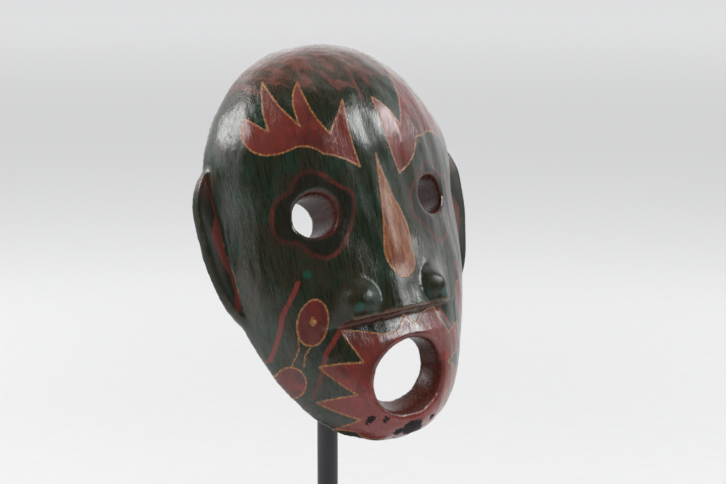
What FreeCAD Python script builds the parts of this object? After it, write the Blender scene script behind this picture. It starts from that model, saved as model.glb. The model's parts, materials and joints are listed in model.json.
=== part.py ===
"""Carved and painted wooden folk mask on an adjustable display stand.

The frame is +Z up, in millimetres. The origin lies on the post's axis at the underside of the felt, and the
mask looks along -Y. The mask and the spine behind it are built in the carving frame, where X runs across the
face, Z runs up the back rim from the chin, and depth is measured forward (-Y) from the rim. One Placement
leans both back.
"""
import FreeCAD, Part
import math
import os
import re

import Sketcher
from FreeCAD import Placement, Rotation, Vector

DRIVING_SIZES = {
    # mask, in the carving frame
    "mask_height": 244.0,
    "mask_lean": 18.5,
    "chin_level": 118.0,
    "chin_forward": 49.5,
    # the back rim curves forward towards the chin
    "rim_rise": 19.0,
    "rim_rise_top": 97.6,
    # half width of the egg at eight even levels, before its round ends close it
    "wide_chin": 89.0,
    "wide_jaw": 83.0,
    "wide_mouth": 83.0,
    "wide_nose": 84.0,
    "wide_eyes": 85.0,
    "wide_brow": 94.0,
    "wide_forehead": 95.0,
    "wide_crown": 97.0,
    # depth of the egg at the same levels
    "deep_chin": 59.5,
    "deep_jaw": 54.5,
    "deep_mouth": 52.0,
    "deep_nose": 52.0,
    "deep_eyes": 54.0,
    "deep_brow": 63.0,
    "deep_forehead": 72.0,
    "deep_crown": 85.0,
    # eye and mouth openings
    "eye_spread": 42.3,
    "eye_offset": 0.6,
    "eye_level": 137.3,
    "eye_skew": 2.6,
    "eye_left_radius": 12.5,
    "eye_right_radius": 11.4,
    "mouth_offset": 4.7,
    "mouth_level": 34.3,
    "mouth_depth": 45.3,
    "mouth_half_width": 27.6,
    "mouth_half_height": 21.2,
    "mouth_roll": 17.0,
    "mouth_droop": 23.0,
    "mouth_taper": 0.2,
    # nose, a ridge that widens into a shelf with two round wings, cut square above the lip
    "nose_offset": 1.5,
    "nose_tilt": 3.5,
    "nose_base_level": 73.0,
    "nose_top_level": 162.0,
    "ridge_proud": 8.0,
    "ridge_half_width_top": 9.0,
    "ridge_half_width_base": 18.0,
    "shelf_proud": 5.0,
    "shelf_half_width": 38.0,
    "shelf_edge": 12.0,
    "wing_spread": 26.3,
    "wing_level": 83.5,
    "wing_half_width": 13.5,
    "wing_half_height": 12.5,
    "wing_half_depth": 7.5,
    "wing_depth": 49.5,
    "lip_band": 15.0,
    "lip_inset": 0.6,
    # hollow in the back, deepest towards the chin
    "rim_band": 16.0,
    "hollow_depth": 18.0,
    "hollow_chin_extra": 15.0,
    # ears
    "ear_top_level": 178.0,
    "ear_wide_level": 138.0,
    "ear_low_level": 72.0,
    "ear_reach": 13.0,
    "ear_right_lift": 5.0,
    "ear_thick": 8.0,
    "ear_softness": 2.5,
    # base and felt
    "base_side": 130.0,
    "base_thick": 22.0,
    "base_corner": 6.0,
    "base_chamfer": 4.0,
    "felt_side": 122.0,
    "felt_thick": 1.5,
    "socket_depth": 8.0,
    "recess_radius": 10.0,
    "recess_depth": 8.0,
    # post, a half-inch tube, with its plug, bolt and washer
    "post_radius": 6.35,
    "post_bore_radius": 4.05,
    "post_top": 158.0,
    "plug_length": 16.0,
    "bolt_radius": 2.5,
    "bolt_length": 22.0,
    "bolt_head_radius": 4.25,
    "bolt_head_height": 5.0,
    "bolt_key_radius": 2.3,
    "bolt_key_depth": 2.5,
    "washer_radius": 8.0,
    "washer_thick": 1.6,
    # clamp collar and thumb screws
    "collar_radius": 10.0,
    "collar_height": 12.0,
    "collar_chamfer": 1.0,
    "screw_radius": 2.0,
    "knob_radius": 6.0,
    "knob_length": 8.0,
    "knob_gap": 1.5,
    "knurl_radius": 0.8,
    # sliding rod and swivel block
    "rod_radius": 4.0,
    "rod_low": 75.0,
    "rod_top": 215.0,
    "rod_chamfer": 0.8,
    "block_low": 197.0,
    "block_height": 24.0,
    "block_half_width": 8.0,
    "block_back": 8.5,
    "block_front": 20.5,
    "block_corner": 4.0,
    # spine, cross bar and pads
    "spine_radius": 3.0,
    "spine_behind_rim": 8.0,
    "spine_bend_radius": 10.0,
    "spine_low_level": 9.0,
    "bar_level": 192.0,
    "bar_depth": 6.0,
    "bar_radius": 2.5,
    "bar_half_length": 38.0,
    "sleeve_radius": 4.0,
    "sleeve_length": 16.0,
    "sleeve_end": 2.0,
    "bumper_radius": 5.0,
    "bumper_length": 11.0,
    "bumper_seat": 6.0,
    # fits
    "running_gap": 0.05,
    "seat_gap": 0.02,
    "touch_gap": 0.3,
}

LEVEL_NAMES = ("chin", "jaw", "mouth", "nose", "eyes", "brow", "forehead", "crown")
ROUND_END_POWER = 0.47  # how the width and depth close at the chin and the crown
END_TRIM = 0.002  # share of the height cut flat at each end, so that no face runs to a point
HEIGHT_STEPS = 45
ACROSS_STEPS = 57
FACE_POWER = 2.0  # a plain half ellipse across the face
HOLLOW_POWER = 2.4  # a slightly squarer curve across the hollow
RIDGE_GROWTH = 1.2  # how the nose's ridge rises from its top to its base
RIDGE_ON_SHELF = 0.55  # share of the ridge that still stands above the shelf
SHELF_START = 0.45  # share of the nose's height, from its top, where the shelf begins
EAR_OUTLINE = ((0.0, -0.35), (0.27, 0.38), (0.67, 0.86), (1.0, 1.0), (1.4, 0.86), (1.7, 0.45), (2.0, -0.35))
MOUTH_LEAD, MOUTH_REACH = 5.0, 75.0  # how far the mouth's oval starts ahead of its middle and ends behind it
BACK_SPARE = 3.0  # how far a block runs behind the flat back before it is trimmed
RIM_SPARE = 0.5  # how far behind the trimmed rim a skin starts to curve

doc = FreeCAD.newDocument("FolkMask")
sheet = doc.addObject("Spreadsheet::Sheet", "Sizes")
for row, (alias, value) in enumerate(DRIVING_SIZES.items(), start=1):
    sheet.set("A%d" % row, alias)
    sheet.set("B%d" % row, str(value))
    sheet.setAlias("B%d" % row, alias)
doc.recompute()


# ------------------------------------------------------------------------------------------ reading the sheet
def size(expression):
    """The value of an expression in the sheet's aliases."""
    return float(sheet.evalExpression(expression))


def bound(expression):
    """The same expression as an object outside the sheet writes it."""
    return re.sub(r"[a-z_]{3,}", lambda word: "Sizes." + word.group() if word.group() in DRIVING_SIZES
                  else word.group(), expression)


def bind(obj, expressions):
    """Binds an object's properties to expressions in the sheet's aliases."""
    for name, expression in expressions.items():
        obj.setExpression(name, bound(expression))


# ----------------------------------------------------------------------------------------------- Part helpers
def primitive(kind, name, placement=None, **expressions):
    """A Part primitive with sizes bound to the sheet."""
    obj = doc.addObject("Part::" + kind, name)
    bind(obj, expressions)
    if placement:
        obj.Placement = placement
    return obj


def boolean(kind, name, base, tool):
    """A Part boolean of two objects."""
    obj = doc.addObject("Part::" + kind, name)
    obj.Base = base
    obj.Tool = tool
    return obj


def lying_along_y(x, y, z):
    """The Placement that turns a piece built along Z to lie along +Y."""
    return Placement(Vector(x, y, z), Rotation(Vector(1, 0, 0), -90))


def tube(name, outer, inner, low, length):
    """A plain ring or tube about the Z axis."""
    outside = primitive("Cylinder", name + "_outside", Radius=outer, Height=length)
    inside = primitive("Cylinder", name + "_inside", Radius=inner, Height=length)
    bind(outside, {"Placement.Base.z": low})
    bind(inside, {"Placement.Base.z": low})
    return boolean("Cut", name, outside, inside)


# ----------------------------------------------------------------------------------------- PartDesign helpers
def new_body(name):
    return doc.addObject("PartDesign::Body", name)


def new_sketch(body, name, role, lift=None):
    """A sketch on one of the body's own origin planes, raised off it by an expression if one is given."""
    sketch = body.newObject("Sketcher::SketchObject", name)
    plane = next(f for f in body.Origin.OriginFeatures if f.Role == role)
    sketch.AttachmentSupport = [(plane, "")]
    sketch.MapMode = "FlatFace"
    if lift:
        sketch.setExpression("AttachmentOffset.Base.z", bound(lift))
    return sketch


def pin(sketch, edge, end, across, along):
    """Holds one point of an edge at a place given by two expressions."""
    for kind, axis, expression in (("DistanceX", -2, across), ("DistanceY", -1, along)):
        distance = size(expression)
        if abs(distance) < 1e-9:
            sketch.addConstraint(Sketcher.Constraint("PointOnObject", edge, end, axis))
            continue
        index = sketch.addConstraint(Sketcher.Constraint(kind, -1, 1, edge, end, distance))
        sketch.setExpression("Constraints[%d]" % index, bound(expression))


def polygon(sketch, corners):
    """A closed outline through corners, each a pair of expressions."""
    places = [Vector(size(across), size(along), 0) for across, along in corners]
    count = len(corners)
    for n in range(count):
        sketch.addGeometry(Part.LineSegment(places[n], places[(n + 1) % count]), False)
    for n in range(count):
        sketch.addConstraint(Sketcher.Constraint("Coincident", n, 2, (n + 1) % count, 1))
    for n, (across, along) in enumerate(corners):
        pin(sketch, n, 1, across, along)


def rectangle(sketch, left, right, low, high):
    polygon(sketch, [(left, low), (right, low), (right, high), (left, high)])


def circle(sketch, radius, across="0", along="0"):
    """A circle with its centre and radius bound to the sheet."""
    centre = Vector(size(across), size(along), 0)
    edge = sketch.addGeometry(Part.Circle(centre, Vector(0, 0, 1), size(radius)), False)
    pin(sketch, edge, 3, across, along)
    index = sketch.addConstraint(Sketcher.Constraint("Radius", edge, size(radius)))
    sketch.setExpression("Constraints[%d]" % index, bound(radius))


def turned(body, corners, name="Turned", kind="Revolution"):
    """A turned solid, or a turned cut, from a profile of (radius, height) corners about Z."""
    sketch = new_sketch(body, name + "Profile", "XZ_Plane")
    polygon(sketch, corners)
    feature = body.newObject("PartDesign::" + kind, name)
    feature.Profile = sketch
    feature.ReferenceAxis = (sketch, ["V_Axis"])
    feature.Angle = 360
    return feature


def pad(body, sketch, length, name="Pad"):
    feature = body.newObject("PartDesign::Pad", name)
    feature.Profile = sketch
    bind(feature, {"Length": length})
    return feature


def vertical_edges(shape):
    """Names of the straight edges that run along Z."""
    names = []
    for n, edge in enumerate(shape.Edges, start=1):
        ends = [vertex.Point for vertex in edge.Vertexes]
        if len(ends) == 2 and (ends[1] - ends[0]).cross(Vector(0, 0, 1)).Length < 1e-6:
            names.append("Edge%d" % n)
    return names


def top_edges(shape):
    """Names of the edges that lie in the shape's highest plane."""
    high = shape.BoundBox.ZMax
    return ["Edge%d" % n for n, edge in enumerate(shape.Edges, start=1) if edge.BoundBox.ZMin > high - 1e-6]


def dress(body, kind, base, edges, prop, expression, name):
    """A fillet or chamfer on named edges of the last feature."""
    feature = body.newObject("PartDesign::" + kind, name)
    feature.Base = (base, edges)
    bind(feature, {prop: expression})
    body.Tip = feature
    return feature


# ------------------------------------------------------------------------------------------- the mask's shape
def level_curve(prefix):
    """A smooth curve through one size at each named level, chin to crown."""
    points = [Vector(n, size(prefix + "_" + name), 0) for n, name in enumerate(LEVEL_NAMES)]
    curve = Part.BSplineCurve()
    curve.interpolate(Points=points, Parameters=[float(n) for n in range(len(points))])
    return lambda share: curve.value(share * (len(LEVEL_NAMES) - 1)).y


def round_end(share):
    """Closes the egg at both ends: 0 at the chin and the crown, 1 half way up."""
    return (4.0 * share * (1.0 - share)) ** ROUND_END_POWER


def rim_depth(level):
    """How far forward of the flat back the rim lies at a level."""
    below = max(0.0, 1.0 - level / size("rim_rise_top"))
    return size("rim_rise") * below * below


def ease(share):
    """A smooth step from 0 to 1."""
    held = min(1.0, max(0.0, share))
    return held * held * (3.0 - 2.0 * held)


def nose_relief(x, level):
    """Height of the nose's ridge and shelf above the smooth egg."""
    base, top = size("nose_base_level"), size("nose_top_level")
    across = abs(x - size("nose_offset"))
    down = min(1.0, max(0.0, (top - level) / (top - base)))
    half_width = size("ridge_half_width_top") * (1.0 - down) + size("ridge_half_width_base") * down
    ridge = size("ridge_proud") * down ** RIDGE_GROWTH * math.exp(-((across / half_width) ** 2))
    shelf_side = ease((size("shelf_half_width + shelf_edge / 2") - across) / size("shelf_edge"))
    shelf = size("shelf_proud") * ease((down - SHELF_START) / (1.0 - SHELF_START)) * shelf_side
    below = ease((level - base + size("lip_band")) / size("lip_band"))
    return below * max(ridge, RIDGE_ON_SHELF * ridge + shelf)


def skin(half_width, depth, relief, low, high, power):
    """The front skin as a smooth surface: one row per height, from one side of the back to the other."""
    rows = []
    first = math.acos(1.0 - 2.0 * END_TRIM)
    for j in range(HEIGHT_STEPS):
        turn = first + (math.pi - 2.0 * first) * j / (HEIGHT_STEPS - 1)
        share = (1.0 - math.cos(turn)) / 2.0
        level = low + (high - low) * share
        wide, deep, rim = half_width(share), depth(share), rim_depth(level) - RIM_SPARE
        row = []
        for i in range(ACROSS_STEPS):
            swing = -math.pi / 2 + math.pi * i / (ACROSS_STEPS - 1)
            x = wide * math.copysign(abs(math.sin(swing)) ** (2.0 / power), swing)
            facing = max(0.0, math.cos(swing)) ** (2.0 / power)
            row.append(Vector(x, -(rim + deep * facing + relief(x, level) * facing), level))
        rows.append(row)
    surface = Part.BSplineSurface()
    surface.interpolate(rows)
    return surface.toShape()


def straight_back(edge):
    """The same edge moved straight back to the plane behind the rim."""
    curve = edge.Curve.copy()
    for n, pole in enumerate(curve.getPoles(), start=1):
        curve.setPole(n, Vector(pole.x, BACK_SPARE, pole.z))
    return curve.toShape(edge.FirstParameter, edge.LastParameter)


def closed_behind(front):
    """A solid from a front skin: straight walls behind it, a flat back and a flat at each end."""
    ends = [edge for edge in front.Edges if edge.BoundBox.ZLength < 1e-6]
    sides = [edge for edge in front.Edges if edge.BoundBox.ZLength >= 1e-6]
    behind = [straight_back(edge) for edge in sides]
    walls = [Part.makeRuledSurface(edge, flat) for edge, flat in zip(sides, behind)]
    caps, chords = [], []
    for edge in ends:
        left, right = edge.Vertexes[0].Point, edge.Vertexes[-1].Point
        left_back = Vector(left.x, BACK_SPARE, left.z)
        right_back = Vector(right.x, BACK_SPARE, right.z)
        chords.append(Part.makeLine(left_back, right_back))
        rest = [Part.makeLine(left, left_back), chords[-1], Part.makeLine(right_back, right)]
        caps.append(Part.Face(Part.Wire(Part.__sortEdges__([edge] + rest))))
    back = Part.Face(Part.Wire(Part.__sortEdges__(behind + chords)))
    shell = Part.Shell([front, back] + walls + caps)
    shell.sewShape()
    solid = Part.Solid(shell)
    if solid.Volume < 0:
        solid.reverse()
    return solid


def egg_block(relief, inset=0.0):
    """The uncarved egg, running a little behind the rim; inset makes a shallower twin."""
    wide, deep = level_curve("wide"), level_curve("deep")
    front = skin(lambda share: wide(share) * round_end(share),
                 lambda share: (deep(share) - inset) * round_end(share),
                 relief, 0.0, size("mask_height"), FACE_POWER)
    return closed_behind(front)


def smooth(x, level):
    """No relief."""
    return 0.0


def hollow_block():
    """The bowl cut into the back."""
    wide = level_curve("wide")
    band = size("rim_band")

    def depth(share):
        extra = size("hollow_chin_extra") * (1.0 - share) ** 2
        return (size("hollow_depth") + extra) * round_end(share)

    front = skin(lambda share: (wide(share) - band) * round_end(share), depth, smooth,
                 band, size("mask_height") - 1.25 * band, HOLLOW_POWER)
    return closed_behind(front)


def rim_trim():
    """Everything behind the rim: a flat back that curves forward below its rise."""
    top, rise = size("rim_rise_top"), size("rim_rise")
    start = -10.0
    lead = rise * (1.0 - start / top) ** 2
    curve = Part.BezierCurve()
    curve.setPoles([Vector(0, -lead, start), Vector(0, 0, (start + top) / 2.0), Vector(0, 0, top)])
    high = size("mask_height") + 10.0
    far = 2.0 * BACK_SPARE
    corners = [Vector(0, 0, top), Vector(0, 0, high), Vector(0, far, high), Vector(0, far, start),
               Vector(0, -lead, start)]
    edges = [curve.toShape()] + [Part.makeLine(a, b) for a, b in zip(corners, corners[1:])]
    face = Part.Face(Part.Wire(edges))
    reach = 1.5 * size("wide_crown")
    face.translate(Vector(-reach, 0, 0))
    return face.extrude(Vector(2.0 * reach, 0, 0))


def ear_block(side):
    """A flap of even thickness along one side of the rim; side is -1 or 1."""
    wide = level_curve("wide")

    def edge_of_head(level):
        share = level / size("mask_height")
        return wide(share) * round_end(share)

    lift = size("ear_right_lift") if side > 0 else 0.0
    low, middle, high = (size("ear_%s_level" % name) + lift for name in ("low", "wide", "top"))
    reach = size("ear_reach")
    outline = []
    for way, share in EAR_OUTLINE:
        level = low + way * (middle - low) if way <= 1.0 else middle + (way - 1.0) * (high - middle)
        outline.append(Vector(side * (edge_of_head(level) + reach * share), BACK_SPARE, level))
    outer = Part.BSplineCurve()
    outer.interpolate(outline)
    inner_low = outline[0] - Vector(side * reach, 0, 0)
    inner_high = outline[-1] - Vector(side * reach, 0, 0)
    edges = [outer.toShape(), Part.makeLine(outline[-1], inner_high), Part.makeLine(inner_high, inner_low),
             Part.makeLine(inner_low, outline[0])]
    flap = Part.Face(Part.Wire(edges)).extrude(Vector(0, -size("ear_thick") - BACK_SPARE, 0))
    front = -size("ear_thick")
    soft = [edge for edge in flap.Edges if is_outer_front_edge(edge.BoundBox, front, edge_of_head(middle))]
    return flap.makeFillet(size("ear_softness"), soft)


def is_outer_front_edge(box, front, half_width):
    """True for an edge in the ear's front face that reaches outside the head."""
    in_front_face = max(abs(box.YMin - front), abs(box.YMax - front)) < 1e-3
    return in_front_face and max(abs(box.XMax), abs(box.XMin)) > half_width + 1.0


def eye_tool(side):
    """A round bar straight through one eye; the eyes are slightly off centre, off level and unequal."""
    start = Vector(side * size("eye_spread") + size("eye_offset"), -2.0 * size("deep_crown"),
                   size("eye_level") + side * size("eye_skew"))
    radius = size("eye_right_radius" if side > 0 else "eye_left_radius")
    return Part.makeCylinder(radius, 4.0 * size("deep_crown"), start, Vector(0, 1, 0))


def mouth_tool():
    """An oval that points forward and down and narrows towards the back."""
    droop = math.radians(size("mouth_droop"))
    out = Vector(0, -math.cos(droop), -math.sin(droop))
    centre = Vector(size("mouth_offset"), -size("mouth_depth"), size("mouth_level"))
    facing = Rotation(Vector(1, 0, 0), 90 + size("mouth_droop")).multiply(
        Rotation(Vector(0, 0, 1), size("mouth_roll")))
    ovals = []
    for behind in (-MOUTH_LEAD, MOUTH_REACH):
        shrink = size("mouth_taper") * behind
        oval = Part.Ellipse(Vector(0, 0, 0), size("mouth_half_width") - shrink,
                            size("mouth_half_height") - shrink)
        quarters = [Part.ArcOfEllipse(oval, math.radians(90 * n), math.radians(90 * (n + 1))) for n in range(4)]
        wire = Part.Wire([quarter.toShape() for quarter in quarters])
        wire.Placement = Placement(centre - out * behind, facing)
        ovals.append(wire)
    return Part.makeLoft(ovals, True)


def with_nose_tilt(shape):
    """Turns a shape in the face plane about the middle of the nose's base, as the nose is carved."""
    shape.rotate(Vector(size("nose_offset"), 0, size("nose_base_level")), Vector(0, 1, 0), -size("nose_tilt"))
    return shape


def wing_block(side):
    """One round nostril wing, half sunk in the shelf."""
    ball = Part.makeSphere(1.0)
    stretch = FreeCAD.Matrix()
    stretch.scale(size("wing_half_width"), size("wing_half_depth"), size("wing_half_height"))
    wing = ball.transformGeometry(stretch)
    wing.translate(Vector(size("nose_offset") + side * size("wing_spread"), -size("wing_depth"),
                          size("wing_level")))
    return with_nose_tilt(wing)


def lip_tool():
    """All wood below the nose's shelf that stands proud of the smooth egg."""
    base, band = size("nose_base_level"), size("lip_band")
    reach = size("shelf_half_width") + 12.0
    block = Part.makeBox(2.0 * reach, 80.0, band, Vector(size("nose_offset") - reach, -100.0, base - band))
    return with_nose_tilt(block).cut(egg_block(smooth, size("lip_inset")))


def mask_solid():
    """The whole carving, one piece of wood with its ears."""
    head = egg_block(nose_relief).fuse([wing_block(-1), wing_block(1)])
    head = head.fuse([ear_block(-1), ear_block(1)])
    head = head.cut([lip_tool(), rim_trim()])
    head = head.cut(hollow_block())
    head = head.cut([eye_tool(-1), eye_tool(1), mouth_tool()])
    if len(head.Solids) != 1:
        raise RuntimeError("the carving came out as %d solids" % len(head.Solids))
    return head.Solids[0]


# ------------------------------------------------------------------------------------------------- the pieces
def mask_placement():
    return Placement(Vector(0, -size("chin_forward"), size("chin_level")),
                     Rotation(Vector(1, 0, 0), -size("mask_lean")))


def make_mask():
    mask = doc.addObject("Part::Feature", "mask")
    mask.Shape = mask_solid()
    mask.Placement = mask_placement()
    return mask


def make_stand_base():
    """A square block with the post's socket above and the bolt's recess below."""
    body = new_body("stand_base")
    half = "base_side / 2"
    sketch = new_sketch(body, "Plan", "XY_Plane", "felt_thick")
    rectangle(sketch, "-" + half, half, "-" + half, half)
    block = pad(body, sketch, "base_thick")
    doc.recompute()
    rounded = dress(body, "Fillet", block, vertical_edges(block.Shape), "Radius", "base_corner", "Corners")
    doc.recompute()
    dress(body, "Chamfer", rounded, top_edges(rounded.Shape), "Size", "base_chamfer", "TopEdge")
    low, high = "felt_thick - 1", "felt_thick + base_thick + 1"
    recess, seat = "felt_thick + recess_depth", "felt_thick + base_thick - socket_depth"
    hole, socket = "bolt_radius + touch_gap", "post_radius + running_gap"
    body.Tip = turned(body, [("0", low), ("recess_radius", low), ("recess_radius", recess), (hole, recess),
                             (hole, seat), (socket, seat), (socket, high), ("0", high)], "Bore", "Groove")
    return body


def make_base_felt():
    body = new_body("base_felt")
    half = "felt_side / 2"
    sketch = new_sketch(body, "Plan", "XY_Plane")
    rectangle(sketch, "-" + half, half, "-" + half, half)
    sheet_pad = pad(body, sketch, "felt_thick")
    doc.recompute()
    dress(body, "Fillet", sheet_pad, vertical_edges(sheet_pad.Shape), "Radius", "base_corner", "Corners")
    return body


def make_post():
    """The fixed tube, with a cross hole that lets the thumb screw through."""
    foot = "felt_thick + base_thick - socket_depth"
    bare = tube("post_tube", "post_radius", "post_bore_radius", foot, "post_top - (%s)" % foot)
    hole = primitive("Cylinder", "post_cross_hole", lying_along_y(0, 0, 0),
                     Radius="screw_radius + running_gap", Height="2 * post_radius")
    bind(hole, {"Placement.Base.z": "post_top - collar_height / 2"})
    return boolean("Cut", "post", bare, hole)


def make_post_plug():
    """A threaded plug pressed into the foot of the tube."""
    body = new_body("post_plug")
    foot = "felt_thick + base_thick - socket_depth"
    outer, inner = "post_bore_radius - seat_gap", "bolt_radius + seat_gap"
    top = foot + " + plug_length"
    body.Tip = turned(body, [(inner, foot), (outer, foot), (outer, top), (inner, top)])
    return body


def make_post_bolt():
    """A socket-head bolt that draws the post down into the base."""
    body = new_body("post_bolt")
    seat = "felt_thick + recess_depth - washer_thick"
    low, tip = seat + " - bolt_head_height", seat + " + bolt_length"
    head, shank = "bolt_head_radius", "bolt_radius"
    turned(body, [("0", low), (head, low), (head, seat), (shank, seat), (shank, tip), ("0", tip)])
    sketch = new_sketch(body, "Key", "XY_Plane", low)
    corners = [("bolt_key_radius * cos(%d deg)" % turn, "bolt_key_radius * sin(%d deg)" % turn)
               for turn in range(0, 360, 60)]
    polygon(sketch, corners)
    key = body.newObject("PartDesign::Pocket", "KeySocket")
    key.Profile = sketch
    key.Reversed = True
    bind(key, {"Length": "bolt_key_depth"})
    body.Tip = key
    return body


def make_post_washer():
    low = "felt_thick + recess_depth - washer_thick"
    return tube("post_washer", "washer_radius", "bolt_radius + touch_gap", low, "washer_thick")


def make_clamp_collar():
    """The ring at the top of the post that carries the height screw."""
    body = new_body("collar_ring")
    low, high = "post_top - collar_height", "post_top"
    bore, outer, bevel = "post_radius + seat_gap", "collar_radius", "collar_chamfer"
    body.Tip = turned(body, [(bore, low), (outer + " - " + bevel, low), (outer, low + " + " + bevel),
                             (outer, high + " - " + bevel), (outer + " - " + bevel, high), (bore, high)])
    hole = primitive("Cylinder", "collar_cross_hole", lying_along_y(0, 0, 0),
                     Radius="screw_radius + running_gap", Height="2 * collar_radius")
    bind(hole, {"Placement.Base.z": "post_top - collar_height / 2"})
    return boolean("Cut", "clamp_collar", body, hole)


def thumb_screw(name, face, scale, level):
    """A knurled thumb screw along +Y whose tip bears on the rod; face is where the clamped wall ends."""
    body = new_body(name)
    tip, neck = "rod_radius + seat_gap", face + " + knob_gap"
    knob, end = "knob_radius * %s" % scale, "%s + knob_length * %s" % (neck, scale)
    shank, bevel = "screw_radius", "knurl_radius"
    turned(body, [("0", tip), (shank, tip), (shank, neck), (knob + " - " + bevel, neck),
                  (knob, neck + " + " + bevel), (knob, end + " - " + bevel), (knob + " - " + bevel, end),
                  ("0", end)])
    sketch = new_sketch(body, "KnurlCut", "XY_Plane", neck)
    circle(sketch, "knurl_radius", knob)
    groove = body.newObject("PartDesign::Pocket", "Knurl")
    groove.Profile = sketch
    groove.Reversed = True
    bind(groove, {"Length": "knob_length * %s" % scale})
    pattern = body.newObject("PartDesign::PolarPattern", "Knurls")
    pattern.Originals = [groove]
    pattern.Axis = (sketch, ["N_Axis"])
    pattern.Angle = 360
    pattern.Occurrences = 14
    body.Tip = pattern
    body.Placement = lying_along_y(0, 0, 0)
    bind(body, {"Placement.Base.z": level})
    return body


def make_height_screw():
    return thumb_screw("height_screw", "collar_radius", "1", "post_top - collar_height / 2")


def make_swivel_screw():
    return thumb_screw("swivel_screw", "block_back", "0.8", "block_low + block_height / 3")


def make_height_rod():
    """The rod that slides in the post and carries the block."""
    body = new_body("height_rod")
    low, high, outer, bevel = "rod_low", "rod_top", "rod_radius", "rod_chamfer"
    body.Tip = turned(body, [("0", low), (outer + " - " + bevel, low), (outer, low + " + " + bevel),
                             (outer, high + " - " + bevel), (outer + " - " + bevel, high), ("0", high)])
    return body


def make_swivel_block():
    """A clamp block: a blind bore for the rod below, a leaning hole for the spine in front."""
    body = new_body("block_blank")
    sketch = new_sketch(body, "Plan", "XY_Plane", "block_low")
    rectangle(sketch, "-block_half_width", "block_half_width", "-block_front", "block_back")
    block = pad(body, sketch, "block_height")
    doc.recompute()
    dress(body, "Fillet", block, vertical_edges(block.Shape), "Radius", "block_corner", "Corners")
    bore = primitive("Cylinder", "block_rod_bore", Radius="rod_radius + running_gap",
                     Height="rod_top - block_low + touch_gap + 1")
    bind(bore, {"Placement.Base.z": "block_low - 1"})
    bored = boolean("Cut", "block_bored", body, bore)
    hole = primitive("Cylinder", "block_spine_hole", Radius="spine_radius + seat_gap", Height="mask_height")
    in_carving_frame = Placement(Vector(0, size("spine_behind_rim"), 0), Rotation())
    hole.Placement = mask_placement().multiply(in_carving_frame)
    holed = boolean("Cut", "block_holed", bored, hole)
    thread = primitive("Cylinder", "block_screw_hole", lying_along_y(0, 0, 0),
                       Radius="screw_radius + running_gap", Height="2 * block_back")
    bind(thread, {"Placement.Base.z": "block_low + block_height / 3"})
    return boolean("Cut", "swivel_block", holed, thread)


def bumper_tip_depth():
    """Depth of the bumper's round tip, which just misses the sloping rim at the chin."""
    level = size("spine_low_level")
    slope = rim_depth(level - 0.5) - rim_depth(level + 0.5)
    lost = size("bumper_radius") * (math.hypot(1.0, slope) - 1.0)
    return rim_depth(level) - lost - size("touch_gap") * math.hypot(1.0, slope)


def make_spine():
    """One bent rod behind the rim: a foot towards the chin and an arm that is coped round the cross bar."""
    body = new_body("spine_rod")
    body.Placement = mask_placement()
    path = new_sketch(body, "Path", "YZ_Plane")
    behind, bend = size("spine_behind_rim"), size("spine_bend_radius")
    low, high = size("spine_low_level"), size("bar_level")
    foot_end = -(bumper_tip_depth() - size("bumper_length") + size("bumper_seat"))
    arm_end = -size("bar_depth")
    straight = [Part.LineSegment(Vector(foot_end, low, 0), Vector(behind - bend, low, 0)),
                Part.LineSegment(Vector(behind, low + bend, 0), Vector(behind, high - bend, 0)),
                Part.LineSegment(Vector(behind - bend, high, 0), Vector(arm_end, high, 0))]
    lower = Part.ArcOfCircle(Part.Circle(Vector(behind - bend, low + bend, 0), Vector(0, 0, 1), bend),
                             -math.pi / 2, 0)
    upper = Part.ArcOfCircle(Part.Circle(Vector(behind - bend, high - bend, 0), Vector(0, 0, 1), bend),
                             0, math.pi / 2)
    for piece in (straight[0], lower, straight[1], upper, straight[2]):
        path.addGeometry(piece, False)
    for first, first_end, second, second_end in ((0, 2, 1, 1), (1, 2, 2, 1), (2, 2, 3, 1), (3, 2, 4, 1)):
        path.addConstraint(Sketcher.Constraint("Tangent", first, first_end, second, second_end))
    path.addConstraint(Sketcher.Constraint("Horizontal", 0))
    path.addConstraint(Sketcher.Constraint("Vertical", 2))
    path.addConstraint(Sketcher.Constraint("Horizontal", 4))
    for edge in (1, 3):
        index = path.addConstraint(Sketcher.Constraint("Radius", edge, bend))
        path.setExpression("Constraints[%d]" % index, bound("spine_bend_radius"))
    index = path.addConstraint(Sketcher.Constraint("DistanceX", -1, 1, 2, 1, behind))
    path.setExpression("Constraints[%d]" % index, bound("spine_behind_rim"))
    path.addConstraint(Sketcher.Constraint("DistanceX", -1, 1, 0, 1, foot_end))
    index = path.addConstraint(Sketcher.Constraint("DistanceY", -1, 1, 0, 1, low))
    path.setExpression("Constraints[%d]" % index, bound("spine_low_level"))
    pin(path, 4, 2, "-bar_depth", "bar_level")
    profile = new_sketch(body, "Round", "XZ_Plane", "%f" % -foot_end)
    circle(profile, "spine_radius", "0", "spine_low_level")
    doc.recompute()
    pipe = body.newObject("PartDesign::AdditivePipe", "Bent")
    pipe.Profile = profile
    pipe.Spine = path
    body.Tip = pipe
    cope = primitive("Cylinder", "spine_cope", Radius="bar_radius + seat_gap", Height="4 * spine_radius")
    across = Placement(Vector(-2.0 * size("spine_radius"), -size("bar_depth"), size("bar_level")),
                       Rotation(Vector(0, 1, 0), 90))
    cope.Placement = mask_placement().multiply(across)
    return boolean("Cut", "spine", body, cope)


def make_cross_bar():
    bar = primitive("Cylinder", "cross_bar", Radius="bar_radius", Height="2 * bar_half_length")
    across = Placement(Vector(-size("bar_half_length"), -size("bar_depth"), size("bar_level")),
                       Rotation(Vector(0, 1, 0), 90))
    bar.Placement = mask_placement().multiply(across)
    return bar


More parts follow.
